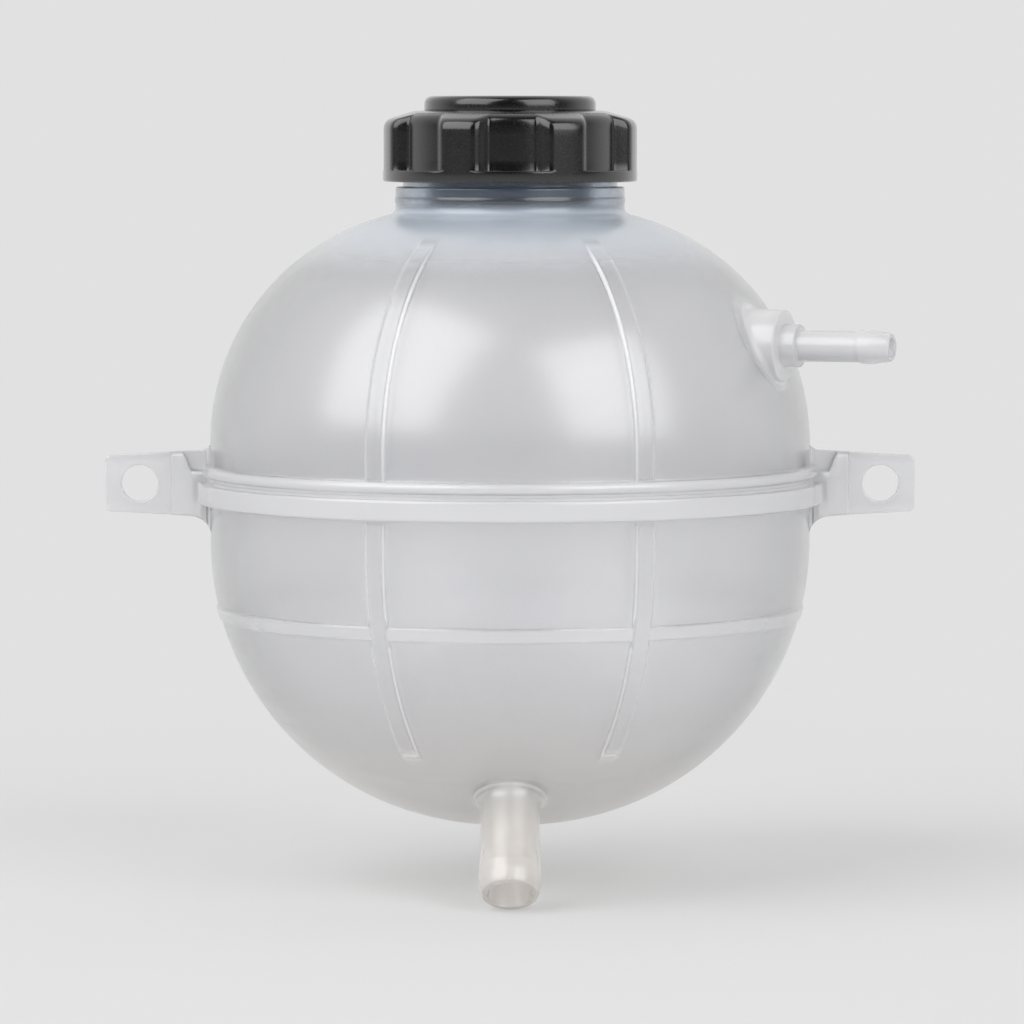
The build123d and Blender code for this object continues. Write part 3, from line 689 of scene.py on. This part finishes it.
# %% Lug sizes and the plate
hole_x, hole_r, tip_x, lug_half_t = 96.5, 4.75, 105.4, 2.0
ball_half_h, tip_half_h, tip_round, plate_edge = 8.85, 7.3, 1.5, 0.45
root_x, ball_end_x, plate_start_x, web_end_x, gusset_end_x = 76.4, 76.5, 84.5, 86.0, 88.2
upper_blend, lower_blend, lug_bar_x = 3.2, 5.2, 77.4
flank_x, flank_y, flank_r, gusset_edge = 89.41, 19.45, 16.0, 0.5
root_top_z, root_top_rise, gusset_step = 3.4, 2.4, 0.35


def lug_half_h(x):
    """Half height of the lug, falling in a straight line from the ball to the tip."""
    return ball_half_h + (tip_half_h - ball_half_h) * (x - ball_end_x) / (tip_x - ball_end_x)


def lug_plate(name, side):
    """A ring of rows: hole wall, front face, outline and back face, for each ray angle."""
    start_h, tip_h = lug_half_h(plate_start_x), lug_half_h(tip_x)
    corners = [
        (plate_start_x, 0, 0),
        (plate_start_x, start_h, 0.05),
        (tip_x, tip_h, tip_round),
        (tip_x, -tip_h, tip_round),
        (plate_start_x, -start_h, 0.05),
        (plate_start_x, 0, 0),
    ]
    outline = finer(rounded(corners, 6), 1.2)[:-1]
    ray = outline - (hole_x, 0)
    reach = np.linalg.norm(ray, axis=1)
    ray = ray / reach[:, None]
    quarter = np.linspace(0, np.pi / 2, 4)
    into = plate_edge * (1 - np.sin(quarter))
    depth = lug_half_t - plate_edge * (1 - np.cos(quarter))
    hole_rows = [(hole_r + a, 0, b) for a, b in zip(into, depth)]
    rim_rows = [(-a, 1, b) for a, b in zip(into[::-1], depth[::-1])]
    front = hole_rows[::-1] + rim_rows[::-1]
    back = [(inset, outer, -y) for inset, outer, y in front[::-1]]
    inset, outer, y = np.array(front + back).T[:, :, None]
    length = inset + outer * reach
    x = (hole_x + length * ray[:, 0]) * side
    return skin(name, np.stack([x, y + 0 * x, length * ray[:, 1]], -1), ring_rows=True)


# %% [markdown]
# The loft takes four arrays: where it stands along X, its half width, and how far it reaches
# down and up. Its corners are quarter circles.


# %% Lug lofts and the whole lug
def loft(name, x, half_width, low, high, corner, side=1):
    """Rounded rectangles along X, closed at both ends in the middle of the section.

    A corner point is (sign(cos a) (w - c) + c cos a, middle + sign(sin a) (h - c) + c sin a).
    """
    quarter = np.radians(np.linspace(2, 88, 6))
    turn = np.concatenate([quarter + quadrant * np.pi / 2 for quadrant in range(4)])
    half = (high - low) / 2
    corner = np.minimum(corner, 0.9 * np.minimum(half_width, half))[:, None]
    y = np.sign(np.cos(turn)) * (half_width[:, None] - corner) + corner * np.cos(turn)
    z = np.sign(np.sin(turn)) * (half[:, None] - corner) + corner * np.sin(turn)
    z = z + (high + low)[:, None] / 2
    grid = np.stack([side * x[:, None] + 0 * y, y, z], -1)
    ends = grid[[0, -1]].mean(1, keepdims=True) + 0 * grid[[0, -1]]
    return skin(name, np.concatenate([ends[:1], grid, ends[1:]]))


def blend_height(x, radius):
    """Extra height of a round fillet at x: radius - sqrt(radius^2 - (radius - d)^2)."""
    away = np.clip(x - lug_bar_x, 0, radius)
    return radius - np.sqrt(radius**2 - (radius - away) ** 2)


def whole_lug(side):
    """Plate, web and gusset fused into one solid shape."""
    lug = lug_plate("lug", side)
    x = np.unique(np.concatenate([np.linspace(root_x, 83, 24), np.linspace(83, web_end_x, 4)]))
    high = lug_half_h(x) + blend_height(x, upper_blend)
    low = -lug_half_h(x) - blend_height(x, lower_blend)
    web = loft("web", x, 0 * x + lug_half_t - 0.004, low, high - 0.004, plate_edge, side)
    x = np.linspace(root_x, gusset_end_x - gusset_edge, 40)
    x = np.unique(np.append(x, gusset_end_x - np.array([0.3, 0.12, 0])))
    over = np.clip(x - gusset_end_x + gusset_edge, 0, gusset_edge)
    inset = gusset_edge - np.sqrt(np.maximum(gusset_edge**2 - over**2, 0))
    width = flank_y - np.sqrt(flank_r**2 - (x - flank_x) ** 2) - inset
    low = -lug_half_h(x) - blend_height(x, lower_blend) + 0.01 + inset
    root_top = root_top_z + root_top_rise * smooth_step(x, 79, 77)
    climb = smooth_step(x, 82.6, 85.2)
    high = root_top + (lug_half_h(x) - gusset_step - root_top) * climb - inset
    gusset = loft("gusset", x, width, low, high, 0.9, side)
    combine(lug, web, "UNION")
    combine(lug, gusset, "UNION")
    return lug


def block(name, low, high):
    """A box between two corners, as a loft, for cutting only."""
    x = np.array([low[0], high[0]])
    half = 0 * x + (high[1] - low[1]) / 2
    return loft(name, x, half, 0 * x + low[2], 0 * x + high[2], 0.01)


lugs = [whole_lug(side) for side in (-1, 1)]
print("faces of a lug:", len(lugs[0].data.polygons))

# %% [markdown]
# ## Vent nipple and outlet stub
#
# Both grow out of a curved wall. For every angle round the stub, halving an interval finds
# where a line along its axis leaves the ball. A parabola from there to the stub's side is
# the moulded fillet. The shape then follows its profile: boss, collar, bead, mouth.


# %% A stub that grows out of the ball
def spokes(axis):
    """The unit axis, and for each angle of a full turn a unit vector square to it."""
    axis = np.array(axis) / np.linalg.norm(axis)
    across = np.cross(axis, (0, 0, 1.0))
    across /= np.linalg.norm(across)
    around = np.cross(axis, across)
    return axis, np.cos(full_turn)[:, None] * across + np.sin(full_turn)[:, None] * around


def stub(name, origin, axis, blend, corners, sink=1.2):
    """Rows: a lid sunk in the wall, the fillet over the ball, then the profile (d, r)."""
    axis, spoke = spokes(axis)

    def place(radius, distance):
        return origin + radius * spoke + distance[:, None] * axis

    def leave(radius):
        low, high = np.full(len(full_turn), -40.0), np.full(len(full_turn), 90.0)
        for _ in range(40):
            middle = (low + high) / 2
            point = place(radius, middle)
            inside = np.hypot(point[:, 0], point[:, 1]) < ball_radius(point[:, 2])
            low, high = np.where(inside, middle, low), np.where(inside, high, middle)
        return (low + high) / 2

    path = rounded(corners, 4)
    radius, first = path[0, 1], path[1, 0]
    wall_at = leave(np.array(radius))
    fillet = np.clip(0.8 * (first - wall_at), 0.02, blend)
    foot = (radius + fillet)[:, None]
    foot_at = leave(foot)
    rows = [place(share * foot, leave(share * foot) - sink) for share in (0.0, 0.4, 0.75, 1.0)]
    for t in np.linspace(0, 1, 9):
        ring = (1 - t) ** 2 * foot + 2 * t * (1 - t) * radius + t**2 * radius
        along = (1 - t) ** 2 * (foot_at - 0.03) + 2 * t * (1 - t) * wall_at
        rows.append(place(ring, along + t**2 * (wall_at + fillet)))
    rows += [place(r, np.full(len(full_turn), d)) for d, r in path[1:]]
    return skin(name, np.array(rows))


def bore(name, origin, axis, corners):
    """The hole through a stub, as a solid to cut with: a profile (d, r) round its axis."""
    axis, spoke = spokes(axis)
    distance, radius = rounded(corners, 3).T[:, :, None, None]
    return skin(name, origin + radius * spoke + distance * axis)


# %% [markdown]
# The vent leaves the dome level, 23 degrees towards the front. Its boss is flush with the
# ball below and stands well clear above. The outlet leans 40 degrees forward from straight
# down. Each ends in a hose bead: a ramp, a land and a tapered lip.

# %% Vent nipple
vent_origin = np.array([0, 0, vent_z])
vent_corners = [
    (70, 9.2, 0),
    (76.2, 9.2, 0.5),
    (76.2, 5.5, 0.4),
    (80.4, 5.5, 0.4),
    (80.4, 4.0, 0.4),
    (96.0, 4.0, 0.6),
    (97.0, 4.3, 0.3),
    (100.0, 4.3, 0.5),
    (104.6, 3.65, 0.25),
    (vent_tip, 3.4, 0.1),
    (vent_tip, 0, 0),
]
vent_bore = [(45, 0, 0), (45, 6.3, 0), (73.3, 6.3, 0.5), (73.3, 2.4, 0.4)]
vent_bore += [(104.6, 2.4, 0.1), (106, 3.0, 0), (106, 0, 0)]
vent = stub("vent", vent_origin, vent_axis, 1.4, vent_corners)

# %% Outlet stub
outlet_root = bowl_spring_z - np.sqrt(bowl_arc_r**2 - (-outlet_y - (ball_r - bowl_arc_r)) ** 2)
outlet_origin = np.array([0, outlet_y, outlet_root])
outlet_corners = [
    (8, 7.55, 0),
    (17.2, 7.55, 0.8),
    (22.2, 8.0, 0.6),
    (25.2, 8.0, 0.6),
    (27.9, 7.5, 0.5),
    (outlet_tip, 7.1, 0.2),
    (outlet_tip, 0, 0),
]
outlet_bore = [(-12, 0, 0), (-12, 5.75, 0), (28.2, 5.75, 0.3), (29.7, 6.4, 0), (29.7, 0, 0)]
outlet = stub("outlet", outlet_origin, outlet_axis, 4.0, outlet_corners)
vent_end = vent_origin + vent_tip * np.array(vent_axis)
outlet_end = outlet_origin + outlet_tip * np.array(outlet_axis)
print("vent tip and outlet tip in mm:", vent_end.round(1), outlet_end.round(1))

# %% [markdown]
# ## Fuse the mouldings
#
# In the mould each half is one piece of plastic. Milky walls show every inner face, so the
# parts are truly united, not just pushed into each other. The lugs are split as on the real
# tank: the dome carries their roots above the seam, the bowl carries all the rest.

# %% Fuse both halves
high_corner = (gusset_end_x, 20, 30)
for lug in lugs:
    root = bpy.data.objects.new("lug_root", lug.data.copy())
    bpy.context.scene.collection.objects.link(root)
    combine(root, block("keep", (-gusset_end_x, -20, seam_top), high_corner), "INTERSECT")
    combine(lug, block("cut", (-gusset_end_x, -20, seam_low), high_corner), "DIFFERENCE")
    combine(upper_half, root, "UNION")
    combine(lower_half, lug, "UNION")
combine(upper_half, vent, "UNION")
combine(upper_half, bore("cut", vent_origin, vent_axis, vent_bore), "DIFFERENCE")
combine(lower_half, outlet, "UNION")
combine(lower_half, bore("cut", outlet_origin, outlet_axis, outlet_bore), "DIFFERENCE")
for half in (upper_half, lower_half):
    note_milk(half)
finish_piece(upper_half, natural_pp, "tank", ["upper_shell"])
finish_piece(lower_half, natural_pp, "tank", ["lower_shell"])

# %% [markdown]
# ## The screw cap
#
# Seen from above, the cap's wall follows a plan of seven lobes: a curve of radius against
# angle, drawn as a polyline with rounded corners. Each column of the grid has one plan
# radius, and every row above the band is written in terms of it. So the recesses cut
# through the wall and the cone at the right depth, and their top edges round over too.

# %% Cap: plan of the lobes
cap_r, recess_r, cap_bore_r = 33.05, 29.4, 28.2
cap_low_z, ledge_z, shoulder_z = 78.4, 81.4, 94.3
crown_r, crown_z, cap_top_z, roof_z = 25.0, 96.7, 96.9, 94.5
disc_r, disc_top_z, lobe_round, cap_thread_depth = 22.3, 100.6, 2.4, 1.6
lobes, first_recess, plan_mean_r = 7, -88.7, 31
recess_half, flank_end = plan_mean_r * np.radians([12, 16.8])
plan = finer(rounded([
    (0, recess_r, 0),
    (recess_half, recess_r, 0.7),
    (flank_end, cap_r, 1.5),
    (plan_mean_r * np.pi / lobes, cap_r, 0),
], 7), 0.7)
plan = np.concatenate([plan[:-1] * (-1, 1), plan[::-1][:-1]])
plan = plan[np.argsort(plan[:, 0])]
plan = plan[np.append(True, np.diff(plan[:, 0]) > 1e-6)]
lobe_angles = np.concatenate([
    plan[:, 0] / plan_mean_r + np.radians(first_recess + 360 / lobes * number)
    for number in range(lobes)
])
plan_r = np.tile(plan[:, 1], lobes)
print("columns of the cap:", len(plan_r))


# %% Cap shell
def cap_rows():
    """(r, z) grids, row by row, each a function of the plan radius p of its column.

    The cone's height over p is shoulder_z + (cap_r - p) (crown_z - shoulder_z) / (cap_r -
    crown_r). Its edge is a parabola from 2.4 mm below that corner to 2.4 mm up the cone. The
    thread inside has the lead of the neck's thread and lies half a pitch beside it.
    """
    p = plan_r
    deep = np.clip((cap_r - p) / 0.5, 0, 1)
    rise = (crown_z - shoulder_z) / (cap_r - crown_r)
    top = shoulder_z + (cap_r - p) * rise
    run = lobe_round / np.hypot(1, rise)
    rows = [(r + 0 * p, z + 0 * p) for r, z in rounded([
        (cap_bore_r, 79.2, 0),
        (cap_bore_r, cap_low_z, 0.4),
        (cap_r, cap_low_z, 0.7),
        (cap_r, ledge_z - 0.6, 0),
    ])]
    for t in (0, 0.35, 0.7, 1):
        rows.append((cap_r - 0.35 * t * t * deep, ledge_z - 0.35 * (1 - t) ** 2))
    rows.append((p + 0.35 * deep, ledge_z + 0.03 + 0.1 * (1 - deep)))
    rows.append((p + 0.08 * deep, ledge_z + 0.1 + 0.1 * (1 - deep)))
    for share in np.linspace(0, 1, 6):
        low, high = ledge_z + 0.4, top - lobe_round
        rows.append((p, low + share * (high - low)))
    for t in np.linspace(0, 1, 8)[1:]:
        inward = t**2 * run
        rows.append((p - inward, top - (1 - t) ** 2 * lobe_round + inward * rise))
    rows += [(r + 0 * p, z + 0 * p) for r, z in rounded([
        (27.5, shoulder_z + (cap_r - 27.5) * rise, 0),
        (crown_r, crown_z, 0.8),
        (disc_r, cap_top_z, 0.8),
        (5.1, cap_top_z, 0.2),
        (5.1, 95.4, 0.2),
        (0, 95.4, 0),
        (0, roof_z, 0),
        (cap_bore_r - 2.2, roof_z, 0.3),
        (cap_bore_r, roof_z - 2.2, 0.3),
    ])]
    crest_z = neck_crest_z - thread_lead / thread_starts / 2
    for z in np.arange(90.0, 79.3, -0.25):
        ends = np.clip((z - 79.6) / 0.9, 0, 1) * np.clip((87.2 - z) / 0.9, 0, 1)
        ridge = thread_ridge(z, lobe_angles, crest_z)
        rows.append((cap_bore_r - cap_thread_depth * ends * ridge, z + 0 * p))
    return [np.array([row[part] + 0 * p for row in rows]) for part in (0, 1)]


r, z = cap_rows()
grid = np.stack([r * np.cos(lobe_angles), r * np.sin(lobe_angles), z], -1)
cap_skin = skin("cap_shell_skin", grid, ring_rows=True)
presser_in_r, presser_out_r, presser_low_z, presser_top_z = 24.5, 26.5, 91.8, 95.0
slots, slot_half, slot_depth, slot_r = 6, 2.0, 1.2, 25.5
slot_pitch = 2 * np.pi / slots
in_slot = np.abs((full_turn / slot_pitch + 0.5) % 1 - 0.5) * slot_pitch * slot_r < slot_half
low = presser_low_z + slot_depth * in_slot
high = presser_top_z + 0 * low
sides = [(presser_in_r, low), (presser_in_r, high), (presser_out_r, high), (presser_out_r, low)]
grid = np.stack([
    np.stack([r * np.cos(full_turn), r * np.sin(full_turn), z], -1) for r, z in sides
])
combine(cap_skin, skin("presser", grid, ring_rows=True), "UNION")
finish_piece(cap_skin, black_pp, "cap", ["cap_shell"])

# %% Disc on the cap
disc_corners = [
    (0, disc_top_z, 0),
    (disc_r, disc_top_z, 2.3),
    (disc_r, cap_top_z, 0.15),
    (20.7, cap_top_z, 0.1),
    (20.7, 99.0, 0.3),
    (5.0, 99.0, 0.2),
    (5.0, 95.5, 0.3),
    (0, 95.5, 0),
]
disc_path = finer(rounded(disc_corners, 6), 3.0)
disc_skin = skin("cap_top_disc_skin", turned(disc_path, full_turn))
finish_piece(disc_skin, black_pp, "cap", ["cap_top_disc"])

# %% [markdown]
# ## The pieces that stay as the CAD made them
#
# The valve parts are small, hidden and made to size, so their CAD meshes stay. Each gets
# the finish of its slot in the record, and the valve housing its pale lower part, painted light.

# %% Finishes on the CAD pieces
finish_of_slot = {
    "natural_polypropylene": natural_pp,
    "black_polypropylene": black_pp,
    "grey_nylon": grey_nylon,
    "black_rubber": black_rubber,
    "spring_steel": spring_steel,
}
for row in frame["record"]["subparts"]:
    node = bpy.data.objects[row["node"]]
    for material_slot in node.material_slots:
        material_slot.material = finish_of_slot[row["material_slot"]]
bpy.data.objects["valve_housing"].material_slots[0].material = nylon_painted_pale_below

# %% [markdown]
# ## Camera, light and ground
#
# The photograph is a pack shot: a long lens 1.45 m away, looking down 4 degrees, a pale and
# even backdrop, and two broad soft lamps left and right of the camera. The world is the
# backdrop: one flat tone to the camera and through the plastic, while as light it shines
# mostly from behind. The floor takes the soft shadow under the outlet and fades into the
# backdrop's own tone, so that no horizon shows.

# %% Camera
camera_tilt = np.radians(90 - 4.067)
camera_data = bpy.data.cameras.new("camera")
camera_data.lens, camera_data.sensor_width = 195.8, 36.0
camera_data.clip_start, camera_data.clip_end = 0.1, 50.0
camera = bpy.data.objects.new("camera", camera_data)
camera.location = (0.0005, -1.4493, 0.0954)
camera.rotation_euler = (camera_tilt, 0, 0)
bpy.context.scene.collection.objects.link(camera)
bpy.context.scene.camera = camera


# %% Lamps and backdrop
def soft_lamp(name, azimuth, elevation, distance, width, height, radiance):
    """A softbox aimed at the ball; azimuth counts from the camera's side to the right.

    A flat lamp of area A and radiance L gives the power pi A L.
    """
    turn, lift = np.radians(azimuth), np.radians(elevation)
    lamp_data = bpy.data.lights.new(name, "AREA")
    lamp_data.shape = "RECTANGLE"
    lamp_data.size, lamp_data.size_y = width, height
    lamp_data.energy = np.pi * width * height * radiance
    lamp = bpy.data.objects.new(name, lamp_data)
    spot = Vector((np.sin(turn) * np.cos(lift), -np.cos(turn) * np.cos(lift), np.sin(lift)))
    lamp.location = spot * distance
    lamp.rotation_euler = spot.to_track_quat("Z", "Y").to_euler()
    bpy.context.scene.collection.objects.link(lamp)


soft_lamp(
    "left_softbox", azimuth=-53, elevation=38, distance=3.0, width=2.8, height=3.2, radiance=2.5
)
soft_lamp(
    "right_softbox", azimuth=42, elevation=29, distance=3.0, width=2.3, height=2.6, radiance=2.5
)
backdrop_tone = paint("#E1E1E1")
world = bpy.data.worlds.new("backdrop")
world.use_nodes = True
tree = world.node_tree
look = add_node(tree, "ShaderNodeTexCoord").outputs["Generated"]
toward = add_node(tree, "ShaderNodeSeparateXYZ", {0: look})
behind = add_node(
    tree,
    "ShaderNodeMapRange",
    {"Value": toward.outputs["Y"], "From Min": -0.45, "From Max": 0.35, "To Min": 0.04},
    interpolation_type="SMOOTHSTEP",
)
level = behind.outputs["Result"]
ray = add_node(tree, "ShaderNodeLightPath")
for kind in ("Is Camera Ray", "Is Transmission Ray"):
    level = add_node(
        tree, "ShaderNodeMath", {0: level, 1: ray.outputs[kind]}, operation="MAXIMUM"
    ).outputs["Value"]
backdrop = tree.nodes["Background"]
backdrop.inputs["Color"].default_value = backdrop_tone
tree.links.new(level, backdrop.inputs["Strength"])
bpy.context.scene.world = world
bpy.context.scene.view_settings.view_transform = "Standard"

# %% Floor
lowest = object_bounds()[0].z
ring = np.linspace(0, 2 * np.pi, 97)[:-1]
floor_rows = np.array([0.0, 0.3, 0.6, 1.2, 2.5, 5.0]) * 1000
grid = np.stack([
    floor_rows[:, None] * np.cos(ring),
    floor_rows[:, None] * np.sin(ring),
    np.full((len(floor_rows), len(ring)), 1000 * lowest),
], -1)
floor = skin("floor", grid)
floor_finish, tree, shader, place = new_finish("backdrop paper", Roughness=0.9, IOR=1.3)
apart = add_node(tree, "ShaderNodeVectorMath", {0: place}, operation="LENGTH")
far = add_node(
    tree,
    "ShaderNodeMapRange",
    {"Value": apart.outputs["Value"], "From Min": 0.05, "From Max": 0.5, "To Min": 0.3},
    interpolation_type="SMOOTHSTEP",
)
through = add_node(tree, "ShaderNodeLightPath").outputs["Is Transmission Ray"]
share = add_node(
    tree, "ShaderNodeMath", {0: far.outputs["Result"], 1: through}, operation="MAXIMUM"
)
glow = add_node(tree, "ShaderNodeEmission", {"Color": backdrop_tone})
both = add_node(
    tree,
    "ShaderNodeMixShader",
    {0: share.outputs["Value"], 1: shader.outputs["BSDF"], 2: glow.outputs["Emission"]},
)
shader.inputs["Base Color"].default_value = paint("#E6E6E6")
shader.inputs["Specular IOR Level"].default_value = 0.0
tree.links.new(both.outputs["Shader"], tree.nodes["Material Output"].inputs["Surface"])
floor.data.materials.append(floor_finish)
